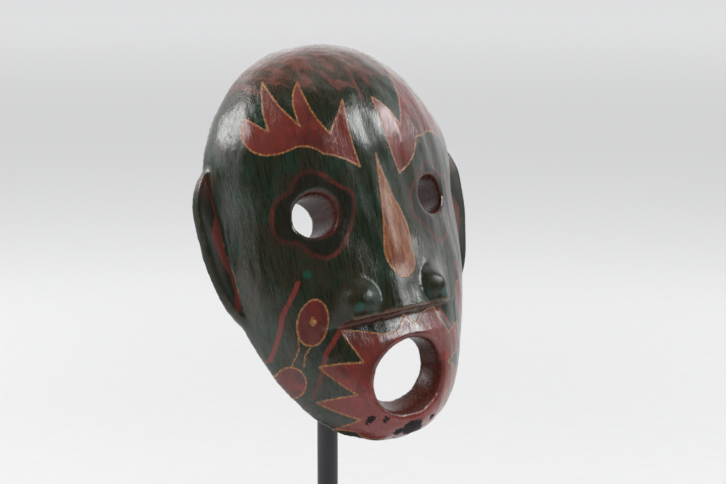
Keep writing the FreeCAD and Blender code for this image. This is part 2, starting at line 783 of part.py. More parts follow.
def make_tip_sleeves():
    """A closed sleeve on each end of the cross bar."""
    body = new_body("sleeve")
    inner, outer, bevel = "bar_radius + seat_gap", "sleeve_radius", "rod_chamfer"
    start, seat = "bar_half_length + sleeve_end - sleeve_length", "bar_half_length + seat_gap"
    end = "bar_half_length + sleeve_end"
    body.Tip = turned(body, [(inner, start), (outer, start), (outer, end + " - 2 * " + bevel),
                             (outer + " - 2 * " + bevel, end), ("0", end), ("0", seat), (inner, seat)])
    across = Placement(Vector(0, -size("bar_depth"), size("bar_level")), Rotation(Vector(0, 1, 0), 90))
    body.Placement = mask_placement().multiply(across)
    twin = doc.addObject("Part::Mirroring", "sleeve_twin")
    twin.Source = body
    twin.Normal = Vector(1, 0, 0)
    pair = doc.addObject("Part::Compound", "tip_sleeves")
    pair.Links = [body, twin]
    return pair


def make_chin_bumper():
    """A round-nosed cap on the spine's foot, for the rim to rest against."""
    body = new_body("chin_bumper")
    sketch = new_sketch(body, "Profile", "XZ_Plane")
    radius, length = size("bumper_radius"), size("bumper_length")
    seat, bore = size("bumper_seat") + size("seat_gap"), size("spine_radius") + size("seat_gap")
    corners = [Vector(bore, 0, 0), Vector(radius, 0, 0), Vector(radius, length - radius, 0)]
    inside = [Vector(0, length, 0), Vector(0, seat, 0), Vector(bore, seat, 0), Vector(bore, 0, 0)]
    ball = Part.Circle(Vector(0, length - radius, 0), Vector(0, 0, 1), radius)
    dome = Part.ArcOfCircle(ball, 0, math.pi / 2)
    lines = [Part.LineSegment(a, b) for a, b in zip(corners, corners[1:])]
    lines += [dome]
    lines += [Part.LineSegment(a, b) for a, b in zip(inside, inside[1:])]
    for line in lines:
        sketch.addGeometry(line, False)
    count = len(lines)
    for n in range(count):
        sketch.addConstraint(Sketcher.Constraint("Coincident", n, 2, (n + 1) % count, 1))
    pin(sketch, 0, 1, "spine_radius + seat_gap", "0")
    pin(sketch, 0, 2, "bumper_radius", "0")
    pin(sketch, 2, 1, "bumper_radius", "bumper_length - bumper_radius")
    pin(sketch, 2, 3, "0", "bumper_length - bumper_radius")
    sketch.addConstraint(Sketcher.Constraint("PointOnObject", 3, 1, -2))
    pin(sketch, 4, 1, "0", "bumper_seat + seat_gap")
    pin(sketch, 4, 2, "spine_radius + seat_gap", "bumper_seat + seat_gap")
    cap = body.newObject("PartDesign::Revolution", "Cap")
    cap.Profile = sketch
    cap.ReferenceAxis = (sketch, ["V_Axis"])
    cap.Angle = 360
    body.Tip = cap
    rear = Vector(0, -(bumper_tip_depth() - length), size("spine_low_level"))
    body.Placement = mask_placement().multiply(Placement(rear, Rotation(Vector(1, 0, 0), 90)))
    return body


def check(obj):
    """Stops the run if an object failed or its shape is unusable."""
    bad = {"Invalid", "Error"}.intersection(obj.State)
    if bad:
        raise RuntimeError("%s is %s" % (obj.Name, ", ".join(sorted(bad))))


def main():
    makers = (make_mask, make_stand_base, make_base_felt, make_post, make_post_plug, make_post_bolt,
              make_post_washer, make_clamp_collar, make_height_screw, make_height_rod, make_swivel_block,
              make_swivel_screw, make_spine, make_cross_bar, make_tip_sleeves, make_chin_bumper)
    pieces = [make() for make in makers]
    doc.recompute()
    for obj in doc.Objects:
        check(obj)
    for piece in pieces:
        if piece.Shape.isNull() or not piece.Shape.isValid():
            raise RuntimeError(piece.Label + " has no valid shape")
    os.makedirs("parts", exist_ok=True)
    for piece in pieces:
        piece.Shape.exportStep("parts/%s.step" % piece.Label)
        print("%-14s %2d solids %9.1f mm3" % (piece.Label, len(piece.Shape.Solids), piece.Shape.Volume))


main()
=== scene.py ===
"""Looks for a carved folk mask on its display stand: painted and bare wood, black steel, brass and felt.

Lengths are in metres in the part's own frame, apart from the carving frame, which is in millimetres:
X across the face, D forward from the flat back, Z up the back rim from the chin.
"""
import json
import math
import random

import bmesh
import bpy
import numpy as np
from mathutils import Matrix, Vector, kdtree


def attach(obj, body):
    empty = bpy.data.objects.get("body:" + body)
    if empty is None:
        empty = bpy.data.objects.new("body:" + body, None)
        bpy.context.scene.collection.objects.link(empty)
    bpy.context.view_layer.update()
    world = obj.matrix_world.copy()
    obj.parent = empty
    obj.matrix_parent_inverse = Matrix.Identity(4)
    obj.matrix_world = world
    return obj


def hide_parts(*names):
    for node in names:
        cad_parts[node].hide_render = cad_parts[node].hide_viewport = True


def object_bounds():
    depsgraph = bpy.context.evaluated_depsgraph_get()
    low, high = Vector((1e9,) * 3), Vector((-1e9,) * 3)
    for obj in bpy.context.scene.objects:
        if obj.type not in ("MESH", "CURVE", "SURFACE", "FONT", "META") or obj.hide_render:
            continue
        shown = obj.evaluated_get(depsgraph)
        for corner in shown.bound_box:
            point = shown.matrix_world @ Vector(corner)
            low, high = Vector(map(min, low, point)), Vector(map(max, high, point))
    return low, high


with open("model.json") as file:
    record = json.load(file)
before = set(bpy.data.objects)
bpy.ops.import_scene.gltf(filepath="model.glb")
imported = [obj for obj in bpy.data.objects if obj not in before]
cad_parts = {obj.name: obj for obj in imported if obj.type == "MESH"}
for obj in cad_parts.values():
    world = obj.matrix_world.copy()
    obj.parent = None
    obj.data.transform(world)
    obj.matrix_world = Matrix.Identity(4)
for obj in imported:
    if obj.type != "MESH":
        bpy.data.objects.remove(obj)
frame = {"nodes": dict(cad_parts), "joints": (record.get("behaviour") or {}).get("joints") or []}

CAD_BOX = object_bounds()
MM = 0.001
NODES = frame["nodes"]
JOINTS = {joint["name"]: joint for joint in frame["joints"]}

# ---------------------------------------------------------------------------------- the carving frame
LIFT_AXIS = JOINTS["mask_lift_off"]["axis"]
LEAN = math.atan2(LIFT_AXIS[2], -LIFT_AXIS[1])
CHIN = np.array((0.0, -0.0495, 0.118))  # where the back rim's plane meets the chin
HEIGHT = 244.0
ACROSS = np.array((1.0, 0.0, 0.0))
FORWARD = np.array((0.0, -math.cos(LEAN), math.sin(LEAN)))
UPWARD = np.array((0.0, math.sin(LEAN), math.cos(LEAN)))

EYES = ((-41.7, 134.7, 12.5), (42.9, 139.9, 11.4))  # x, z and radius of each hole
MOUTH_MIDDLE = (4.7, 45.3, 34.3)
MOUTH_HALF = (27.6, 21.2)  # half width and half height at its middle
MOUTH_ROLL, MOUTH_DROOP = math.radians(17.0), math.radians(23.0)
MOUTH_TAPER = 0.2  # how fast both half sizes shrink backwards
MOUTH_BACK = -60.0  # the taper ends this far behind the middle
NOSE_MIDDLE, NOSE_BASE = 1.5, 73.0  # x and level of the shelf under the nose
NOSE_TILT = math.radians(3.5)
WING_SPREAD, WING_RISE = 26.3, 10.5  # from the middle of the nose's base
WING_HALF = (13.5, 12.5)
LEDGE_HALF_WIDTH = 40.0
EAR_EDGE = 83.0  # half width of the head where the ears begin
EAR_LOW, EAR_HIGH = (80.0, 102.0), (154.0, 172.0)  # levels over which an ear fades in and out
RIM_RISE, RIM_RISE_TOP = 19.0, 97.6  # the rim's way forward at the chin, and the level where it starts

# How deep or high the carver's marks are.
UNDERCUT, LEDGE_BEAD = 2.8, 0.8  # the hollow under the nose's shelf, and the swelling along its edge
KNIFE_WAVES, SCRAPER_WAVES, WALL_WAVES = 0.26, 0.07, 0.10
GOUGE_DEPTH, GOUGE_SIZE = 0.55, (8.0, 8.0, 17.0)  # the scoops in the hollow back

VOXEL = 1.18 * MM  # the sculpted mesh's spacing
CALM_IN, CALM_OUT = 0.5, -0.52  # a step that smooths, and the step back that keeps the volume

# --------------------------------------------------------------------------------- the studio's sizes
LOOK_AT = Vector((-0.00875, -0.0495, 0.24098))
CAMERA_AZIMUTH, CAMERA_ELEVATION, CAMERA_DISTANCE = -36.0, 10.2, 1.174
LENS, SENSOR = 99.17, 36.0
ROOM_LIGHT = 0.82  # strength of the even room light on paint and floor
ROOM_AT_CAMERA, ROOM_BEHIND = 0.05, 1.15  # what reflections see of the room
BACKDROP = 0.74  # brightness behind the floor's edge
FLOOR_NEAR, FLOOR_BEHIND, FLOOR_FAR = 0.57, 0.67, 0.93  # the floor's tone by its distance
FLOOR_HALF = 40.0


def carving(points):
    """Points of the part's frame as (x, d, z) in the carving frame, in millimetres."""
    away = (points - CHIN) / MM
    return np.stack((away @ ACROSS, away @ FORWARD, away @ UPWARD), axis=1)


def ease(value, low, high):
    """A smooth step of an array from 0 at low to 1 at high."""
    share = np.clip((value - low) / (high - low), 0.0, 1.0)
    return share * share * (3.0 - 2.0 * share)


# ------------------------------------------------------------------------------------- painted motifs
# Outlines are (x, z, bow) in the carving frame: the stretch to the next point bows to the left of its
# direction by bow times its length. Left and right are -X and +X, as seen from the front.
LEFT_FLAME = ((-66, 198, -.06), (-59, 187, .07), (-49, 219, -.12), (-43, 186.5, .13), (-35, 214, -.09),
              (-28, 180, 0), (-14, 200, -.07), (-11.5, 158.5, -.05), (-34, 169, -.12), (-48, 175.3, .05),
              (-60, 172.8, .2), (-71, 183, .1))
RIGHT_FLAME = ((6.5, 200, .06), (23, 181, -.05), (31, 220, .1), (50, 194, -.1), (57, 215, .1), (70, 199, -.1),
               (73, 184, -.2), (62, 174, -.06), (48, 178, .05), (35, 174, .12), (16, 153, .04))
DROP = ((0, 166, .03), (-5, 113, -.12), (-1, 94, -.2), (9, 93, -.2), (15.5, 106, -.12), (9, 137, .02))
SUNBURST = ((-37, 67, .03), (-12, 60.8, .1), (-4, 60.5, -.1), (5.5, 70.5, .05), (13, 63.8, .1),
            (32, 72.5, -.02), (40, 56, .05), (53, 62, .04), (49, 46, 0), (36, 39, .03), (51, 31, .02),
            (34, 22, .03), (47, 14, 0), (30, 7, .1), (0, 1.5, .1), (-29, 8, 0), (-39, 12, .02),
            (-30, 14.5, .03), (-51, 29, .02), (-32.5, 29, .03), (-51, 49, .02), (-27, 46.5, .02))
LEFT_FLOWER = ((-48.9, 159), (-38.4, 158.5), (-26.8, 149.4), (-19.2, 143.9), (-19.8, 132.2), (-27.3, 118),
               (-37.8, 109.7), (-46.9, 112.4), (-53.7, 120.1), (-62.2, 123.7), (-65, 131), (-64.4, 140),
               (-61, 147.1), (-54, 150.8))
RIGHT_FLOWER = ((42.4, 160), (53, 152), (61, 149), (65, 136), (59, 123), (49, 112), (40, 113), (31, 122),
                (24, 127), (22.5, 139), (30, 149))
# Discs are x, z, half width, half height and lean.
CHEEK_DISCS = ((-51.7, 74.3, 7.9, 13, .1), (-61.7, 42.7, 5.1, 9.3, -.21))
RIGHT_DISCS = ((61.5, 75.0, 6.5, 12.0, -.1), (64.5, 43.5, 4.8, 9.0, .21))
DISC_DIAMOND = ((-54, 75), (-52, 78), (-50, 75), (-52, 71.8))
RED_STRIPES = (((-57, 98), (-66, 81), (-70, 58)), ((-36, 70), (-47, 55), (-53, 32)))
STEMS = (((-59.2, 71), (-59.6, 61), (-62.3, 52)), ((-54, 61.5), (-57, 57), (-57.8, 50.5)))
TEAL_DOTS = ((-52, 102, 2.2), (-30.5, 78, 2.6), (31, 79, 2.6))
CROWN_STROKES = (((-29, 233), (-31, 221), (-28, 208)), ((-14, 231), (-12, 219)),
                 ((0, 232), (-2, 210), (-1, 198)), ((-43, 221), (-36, 216), (-28, 209)),
                 ((-58, 223), (-54, 213)), ((-43, 230), (-37, 220)), ((-22, 227), (-27, 236)),
                 ((5, 229), (11, 216), (26, 215)), ((34, 226), (46, 209)), ((-25, 238), (-6, 237), (9, 234)),
                 ((-13, 211), (-4, 207)), ((-38, 235), (-20, 219), (-13, 206)),
                 ((-20, 239), (2, 221), (12, 204)), ((-52, 226), (-40, 212)),
                 ((12, 236), (24, 222), (33, 205)))
CHIPS = ((5.2, 5.2, 7.6, 4.0), (12.5, 3.3, 3.4, 2.2), (-4, 4, 3.4, 2), (-25, 13.5, 3.2, 2.2),
         (-15, 12, 1.7, 2), (21, 9, 3, 1.5))  # x, z, half width, half height
EAR_DIAMOND = ((-86.5, 147), (-91.4, 134), (-88.0, 120), (-83.2, 108), (-84.4, 130))
EAR_LINE = ((-89, 168), (-87, 156), (-86.2, 145), (-85.4, 133), (-83.8, 112), (-82, 96))
EAR_END = ((-81.2, 104), (-84.2, 96), (-83.5, 88), (-80.5, 91))
EAR_TOP = ((-93, 170), (-94, 160), (-90, 153), (-85.5, 158), (-84.5, 168), (-88, 172))
EAR_TRIM = ((-85.8, 150), (-85.2, 140), (-84.5, 131), (-82.8, 114.7), (-81.1, 99))
# Where handling has thinned the varnish: the nose with the wing on its left, and the wing on its right.
RUBBED_NOSE = ((-30, 152, 0), (-3, 162, 0), (8, 140, 0), (14, 112, 0), (17, 95, 0), (10, 82, 0), (2, 68, 0),
               (-40, 66, 0), (-42, 86, 0), (-26, 100, 0), (-22, 125, 0))
RUBBED_WING = (27, 79, 13, 12)


def bowed(outline, steps=8):
    """A closed polygon from (x, z, bow) points."""
    points = []
    for (x, z, bow), (x_next, z_next, _) in zip(outline, outline[1:] + outline[:1]):
        dx, dz = x_next - x, z_next - z
        for n in range(steps):
            share = n / steps
            lift = 4.0 * share * (1.0 - share) * bow
            points.append((x + dx * share - dz * lift, z + dz * share + dx * lift))
    return np.array(points)


def rounded(points, steps=5):
    """A smooth closed curve through points (a Catmull-Rom spline)."""
    known = np.array(points, float)
    before, after, beyond = np.roll(known, 1, 0), np.roll(known, -1, 0), np.roll(known, -2, 0)
    rows = []
    for n in range(steps):
        u = n / steps
        line = 2 * known + (after - before) * u
        bend = (2 * before - 5 * known + 4 * after - beyond) * u ** 2
        twist = (3 * known - before - 3 * after + beyond) * u ** 3
        rows.append(0.5 * (line + bend + twist))
    return np.stack(rows, axis=1).reshape(-1, 2)


def tilted_oval(x, z, half_width, half_height, tilt, count=28):
    """An oval whose top leans sideways by tilt times its height."""
    turn = np.linspace(0.0, 2.0 * math.pi, count, endpoint=False)
    across, along = half_width * np.cos(turn), half_height * np.sin(turn)
    return np.stack((x + across + along * tilt, z + along), axis=1)


def mirrored(points):
    """The same points on the other side of the face."""
    return tuple((-point[0],) + tuple(point[1:]) for point in points)


def both_sides(shapes):
    """The shapes and their mirror images."""
    return shapes + tuple(mirrored(shape) for shape in shapes)


class Canvas:
    """Distances over the carved surface, in millimetres, from outlines drawn in the carving frame."""

    def __init__(self, places, normals):
        self.flat = places[:, (0, 2)]
        self.slope = normals[:, (0, 2)]

    def nearest(self, points, closed):
        """Distance and direction from every vertex to the nearest stretch of a line."""
        ends = np.roll(points, -1, 0) if closed else points[1:]
        starts = points if closed else points[:-1]
        best = np.full(len(self.flat), 1e9)
        way = np.zeros_like(self.flat)
        for start, end in zip(starts, ends):
            along = end - start
            share = np.clip((self.flat - start) @ along / (along @ along), 0.0, 1.0)
            offset = self.flat - start - share[:, None] * along
            distance = np.hypot(offset[:, 0], offset[:, 1])
            nearer = distance < best
            best[nearer] = distance[nearer]
            way[nearer] = offset[nearer]
        way /= np.maximum(best, 1e-6)[:, None]
        across = np.clip((way * self.slope).sum(1), -0.93, 0.93)
        return best / np.sqrt(1.0 - across ** 2)

    def area(self, points):
        """Signed distance to a closed outline, below 0 inside."""
        distance = self.nearest(points, True)
        inside = np.zeros(len(self.flat), bool)
        x, z = self.flat[:, 0], self.flat[:, 1]
        for (x0, z0), (x1, z1) in zip(points, np.roll(points, -1, 0)):
            crosses = (z0 > z) != (z1 > z)
            if z1 != z0:
                inside ^= crosses & (x < (x1 - x0) * (z - z0) / (z1 - z0) + x0)
        return np.where(inside, -distance, distance)

    def areas(self, outlines):
        return union(self.area(np.array(outline)) for outline in outlines)

    def lines(self, lines):
        """Distance to the nearest of several open lines."""
        return union(self.nearest(np.array(line, float), False) for line in lines)

    def spot(self, x, z, half_width, half_height):
        return self.area(tilted_oval(x, z, half_width, half_height, 0.0, 16))


def union(distances):
    """Distance to the nearest of several shapes."""
    return np.minimum.reduce(list(distances))


# --------------------------------------------------------------------------------------- mesh helpers
def voxel_copy(name, node, voxel):
    """A new even mesh over the surface of a CAD node."""
    source = bmesh.new()
    source.from_mesh(NODES[node].data)
    bmesh.ops.remove_doubles(source, verts=source.verts, dist=1e-7)
    mesh = bpy.data.meshes.new(name)
    source.to_mesh(mesh)
    source.free()
    obj = bpy.data.objects.new(name, mesh)
    bpy.context.scene.collection.objects.link(obj)
    remesh = obj.modifiers.new("Remesh", "REMESH")
    remesh.mode = "VOXEL"
    remesh.voxel_size = voxel
    graph = bpy.context.evaluated_depsgraph_get()
    made = bpy.data.meshes.new_from_object(obj.evaluated_get(graph))
    obj.modifiers.clear()
    obj.data = made
    made.name = name
    return obj


def read_points(mesh):
    flat = np.empty(len(mesh.vertices) * 3, np.float32)
    mesh.vertices.foreach_get("co", flat)
    return flat.reshape(-1, 3).astype(float)


def write_points(mesh, points):
    mesh.vertices.foreach_set("co", points.astype(np.float32).ravel())
    mesh.update()


def read_normals(mesh):
    flat = np.empty(len(mesh.vertices) * 3, np.float32)
    mesh.vertex_normals.foreach_get("vector", flat)
    return flat.reshape(-1, 3).astype(float)


def read_edges(mesh):
    flat = np.empty(len(mesh.edges) * 2, np.int32)
    mesh.edges.foreach_get("vertices", flat)
    return flat.reshape(-1, 2)


class Neighbours:
    """Averages over the vertices that share an edge with each vertex."""

    def __init__(self, mesh):
        self.mesh = mesh
        edges = read_edges(mesh)
        self.first, self.second = edges[:, 0], edges[:, 1]
        self.count = len(mesh.vertices)
        self.degree = np.maximum(np.bincount(edges.ravel(), minlength=self.count), 1)

    def normals(self, points):
        """The mesh's normals once its vertices lie at points."""
        write_points(self.mesh, points)
        return read_normals(self.mesh)

    def mean(self, values):
        total = (np.bincount(self.first, values[self.second], self.count)
                 + np.bincount(self.second, values[self.first], self.count))
        return total / self.degree

    def mean_points(self, points):
        return np.stack([self.mean(points[:, axis]) for axis in range(3)], axis=1)

    def relax(self, points, weight, rounds):
        """Moves each point towards the middle of its neighbours, by its weight."""
        for _ in range(rounds):
            points = points + weight[:, None] * (self.mean_points(points) - points)
        return points

    def calm(self, points, weight, rounds):
        """Takes small roughness out of the surface without shrinking it."""
        for _ in range(rounds):
            points = self.relax(points, CALM_IN * weight, 1)
            points = self.relax(points, CALM_OUT * weight, 1)
        return points

    def spread(self, values, rounds):
        for _ in range(rounds):
            values = self.mean(values)
        return values


def ripple(points, wavelength, seed, waves=14):
    """Smooth random waves of about one unit over points."""
    dice = random.Random(seed)
    total = np.zeros(len(points))
    for _ in range(waves):
        way = np.array([dice.gauss(0.0, 1.0) for _ in range(3)])
        way *= 2.0 * math.pi / wavelength * dice.uniform(0.6, 1.5) / np.linalg.norm(way)
        total += np.sin(points @ way + dice.uniform(0.0, 2.0 * math.pi))
    return total / math.sqrt(waves)


def scoops(points, length, spacing, seed):
    """0 at the middle of each tool mark and 1 on the ridges between them."""
    dice = random.Random(seed)
    stretched = points / np.array(length)
    low, high = stretched.min(0), stretched.max(0)
    tree_size = int(np.prod((high - low) / spacing)) + 8
    tree = kdtree.KDTree(tree_size)
    for n in range(tree_size):
        tree.insert([dice.uniform(a, b) for a, b in zip(low, high)], n)
    tree.balance()
    found = np.array([tree.find(point)[2] for point in stretched])
    return np.clip(found / spacing, 0.0, 1.2) ** 2


def put(mesh, name, values):
    """Stores one number per vertex."""
    attribute = mesh.attributes.new(name, "FLOAT", "POINT")
    attribute.data.foreach_set("value", values.astype(np.float32))


def put_vector(mesh, name, values):
    attribute = mesh.attributes.new(name, "FLOAT_VECTOR", "POINT")
    attribute.data.foreach_set("vector", values.astype(np.float32).ravel())


# --------------------------------------------------------------------------------- sculpting the mask
def mouth_distance(places):
    """Distance outside the mouth's wall, a turned oval that narrows backwards, and which way out points."""
    ahead = np.array((0.0, math.cos(MOUTH_DROOP), -math.sin(MOUTH_DROOP)))
    up = np.array((0.0, math.sin(MOUTH_DROOP), math.cos(MOUTH_DROOP)))
    side = np.array((1.0, 0.0, 0.0))
    major = math.cos(MOUTH_ROLL) * side + math.sin(MOUTH_ROLL) * up
    minor = math.cos(MOUTH_ROLL) * up - math.sin(MOUTH_ROLL) * side
    away = places - MOUTH_MIDDLE
    grown = MOUTH_TAPER * np.maximum(away @ ahead, MOUTH_BACK)
    half_width, half_height = MOUTH_HALF[0] + grown, MOUTH_HALF[1] + grown
    across, above = away @ major, away @ minor
    oval = np.hypot(across / half_width, above / half_height)
    out = (across / half_width ** 2)[:, None] * major + (above / half_height ** 2)[:, None] * minor
    out /= np.maximum(np.linalg.norm(out, axis=1), 1e-9)[:, None]
    return (oval - 1.0) * 0.5 * (half_width + half_height), out


def opening_distance(places):
    """Distance outside the nearest eye or mouth opening, about 0 on its wall, and which way out points."""
    x, _, z = places.T
    offers = [mouth_distance(places)]
    for eye_x, eye_z, radius in EYES:
        away = np.hypot(x - eye_x, z - eye_z)
        out = np.stack((x - eye_x, np.zeros_like(x), z - eye_z), axis=1) / np.maximum(away, 1e-6)[:, None]
        offers.append((away - radius, out))
    distances = np.stack([offer[0] for offer in offers])
    pick = distances.argmin(0)
    ways = np.stack([offer[1] for offer in offers])
    index = np.arange(len(x))
    return distances[pick, index], ways[pick, index]


def regions(places, normals):
    """Which parts of the carving each vertex belongs to, as numbers from 0 to 1."""
    x, _, z = places.T
    side = normals[:, 0] * np.sign(x) + 0.6 * normals[:, 2] * (z / HEIGHT - 0.5) * 2.0
    facing = normals[:, 1]
    hole, out = opening_distance(places)
    wall = ease(-(normals * out).sum(1), 0.25, 0.7) * ease(-hole, -2.4, -1.2)
    painted = np.maximum(ease(facing, 0.05, 0.2), ease(side, 0.1, 0.35) * ease(facing, -0.55, -0.3))
    hollow = (1.0 - painted) * (1.0 - wall)
    return hole, wall, painted * (1.0 - wall), hollow


def nose_frame(places):
    """Coordinates along and above the nose's tilted base."""
    x, z = places[:, 0] - NOSE_MIDDLE, places[:, 2] - NOSE_BASE
    along = x * math.cos(NOSE_TILT) + z * math.sin(NOSE_TILT)
    above = z * math.cos(NOSE_TILT) - x * math.sin(NOSE_TILT)
    return along, above


def ear_flap(places):
    """1 on the ears, 0 on the head."""
    x, z = places[:, 0], places[:, 2]
    lengthwise = ease(z, *EAR_LOW) * ease(-z, -EAR_HIGH[1], -EAR_HIGH[0])
    return lengthwise * ease(np.abs(x), EAR_EDGE - 1.0, EAR_EDGE + 3.0)


def wing_seam(places):
    """1 along the valley round the outer side of each nostril wing."""
    along, above = nose_frame(places)
    side = np.where(along < 0.0, -1.0, 1.0)
    across, up = (along * side - WING_SPREAD) / WING_HALF[0], (above - WING_RISE) / WING_HALF[1]
    ring = ease(-np.abs(np.hypot(across, up) - 1.05), -0.75, -0.3)
    outer = ease(across, -0.4, 0.5)
    return ring * outer * ease(above, 1.0, 5.0)


def soften(around, points):
    """Rounds the openings' edges and the rim, and lets the wings and the ears flow into the head."""
    places, normals = carving(points), turned_in(around.normals(points))
    hole, wall, painted, _ = regions(places, normals)
    points = around.calm(points, np.maximum(wall, 0.3), 12)
    front = ease(places[:, 1], 24.0, 32.0)
    near = ease(-np.abs(hole), -3.4, -1.6)
    points = around.relax(points, 0.5 * near * front, 20)
    lower_lip = ease(-np.abs(hole), -8.0, -3.5) * front * ease(places[:, 0] - places[:, 2], -34.0, -14.0)
    lower_lip *= ease(-places[:, 2], -62.0, -52.0)
    points = around.relax(points, 0.5 * lower_lip, 45)
    rim = ease(-np.abs(places[:, 1] - rim_depth(places[:, 2])), -4.0, -1.5) * (1.0 - front)
    points = around.relax(points, 0.5 * np.maximum(rim, 0.7 * near * (1.0 - front)), 9)
    flap = ear_flap(places + np.sign(places[:, :1]) * (4.0, 0.0, 0.0))
    flap *= ease(-np.abs(places[:, 0]), -EAR_EDGE - 5.0, -EAR_EDGE - 1.0)
    points = around.relax(points, 0.5 * flap * painted, 8)
    return around.relax(points, 0.5 * wing_seam(places) * painted, 150)


def nose_ledge(places):
    """1 on the shadowed underside of the nose's shelf."""
    along, above = nose_frame(places)
    return ease(-above, -1.6, 0.2) * ease(above, -4.6, -2.4) * ease(-np.abs(along), -LEDGE_HALF_WIDTH, -34.0)


def sculpt(mesh):
    """Softens the carving, undercuts the nose's shelf and leaves the carver's tool marks."""
    points = read_points(mesh)
    around = Neighbours(mesh)
    points = around.calm(points, np.ones(len(points)), 4)
    points = soften(around, points)
    world_normals = around.normals(points)
    places, normals = carving(points), turned_in(world_normals)
    _, wall, painted, hollow = regions(places, normals)
    along, above = nose_frame(places)
    lift = np.zeros(len(points))
    under = ease(-above, 0.2, 1.4) * ease(above, -15.0, -3.0)
    under *= ease(-np.abs(along), -LEDGE_HALF_WIDTH - 3, -30)
    lift -= UNDERCUT * under * painted
    bead = np.exp(-((above - 1.4) / 1.3) ** 2) * ease(-np.abs(along), -LEDGE_HALF_WIDTH - 2, -32)
    lift += LEDGE_BEAD * bead * painted
    lift += KNIFE_WAVES * ripple(places / (1.0, 1.0, 2.0), 17.0, 3) * painted
    lift += SCRAPER_WAVES * ripple(places / (1.0, 1.0, 3.5), 6.0, 4) * painted
    gouged = 1.0 - scoops(places, GOUGE_SIZE, 1.0, 5)
    lift -= GOUGE_DEPTH * gouged * hollow * ease(-normals[:, 1], 0.2, 0.6)
    lift += WALL_WAVES * ripple(places / (1.0, 3.0, 1.0), 12.0, 6) * wall
    points = points + world_normals * (lift * MM)[:, None]
    points = around.relax(points, 0.35 * np.ones(len(points)), 1)
    write_points(mesh, points)
    return around


def rim_depth(level):
    """How far forward of the flat back the rim lies."""
    return RIM_RISE * np.maximum(0.0, 1.0 - level / RIM_RISE_TOP) ** 2


def turned_in(vectors):
    """Directions of the part's frame as directions of the carving frame."""
    return np.stack((vectors @ ACROSS, vectors @ FORWARD, vectors @ UPWARD), axis=1)


def motif_distances(canvas):
    """Distance from every vertex to each painted or worn shape, below 0 inside the closed ones."""
    discs = (tilted_oval(*disc) for disc in CHEEK_DISCS + RIGHT_DISCS)
    red = (bowed(LEFT_FLAME), bowed(RIGHT_FLAME), bowed(SUNBURST), *discs)
    return {
        "red": canvas.areas(red),
        "drop": canvas.area(bowed(DROP)),
        "flower": canvas.areas((rounded(LEFT_FLOWER), rounded(RIGHT_FLOWER))),
        "stripe": canvas.lines(both_sides(RED_STRIPES)),
        "stem": canvas.lines(both_sides(STEMS)),
        "diamond": canvas.area(np.array(DISC_DIAMOND)),
        "teal": union(canvas.spot(x, z, radius, radius) for x, z, radius in TEAL_DOTS),
        "crown": canvas.lines(CROWN_STROKES),
        "chip": union(canvas.spot(*chip) for chip in CHIPS),
        "rubbed": union((canvas.area(bowed(RUBBED_NOSE)), canvas.spot(*RUBBED_WING))),
        "ear_line": canvas.lines(both_sides((EAR_LINE,))),
        "ear_trim": canvas.lines(both_sides((EAR_TRIM,))),
        "ear_area": canvas.areas(both_sides((EAR_DIAMOND, EAR_END))),
        "ear_top": canvas.areas(both_sides((EAR_TOP,))),
    }


def paint_guides(mesh, around):
    """Stores the distances and regions that the paint's material reads."""
    points = read_points(mesh)
    world_normals = read_normals(mesh)
    places, normals = carving(points), turned_in(world_normals)
    _, wall, painted, _ = regions(places, normals)
    bend = ((points - around.mean_points(points)) * world_normals).sum(1) / MM
    guides = motif_distances(Canvas(places, normals))
    guides.update({
        "wall": around.spread(wall, 1),
        "painted": around.spread(painted, 1),
        "edge": around.spread(bend, 3),
        "rim": places[:, 1] - rim_depth(places[:, 2]),
        "ear": ear_flap(places) * painted,
        "ledge": nose_ledge(places) * painted,
    })
    for name, values in guides.items():
        put(mesh, name, values)
    put_vector(mesh, "carve", places)


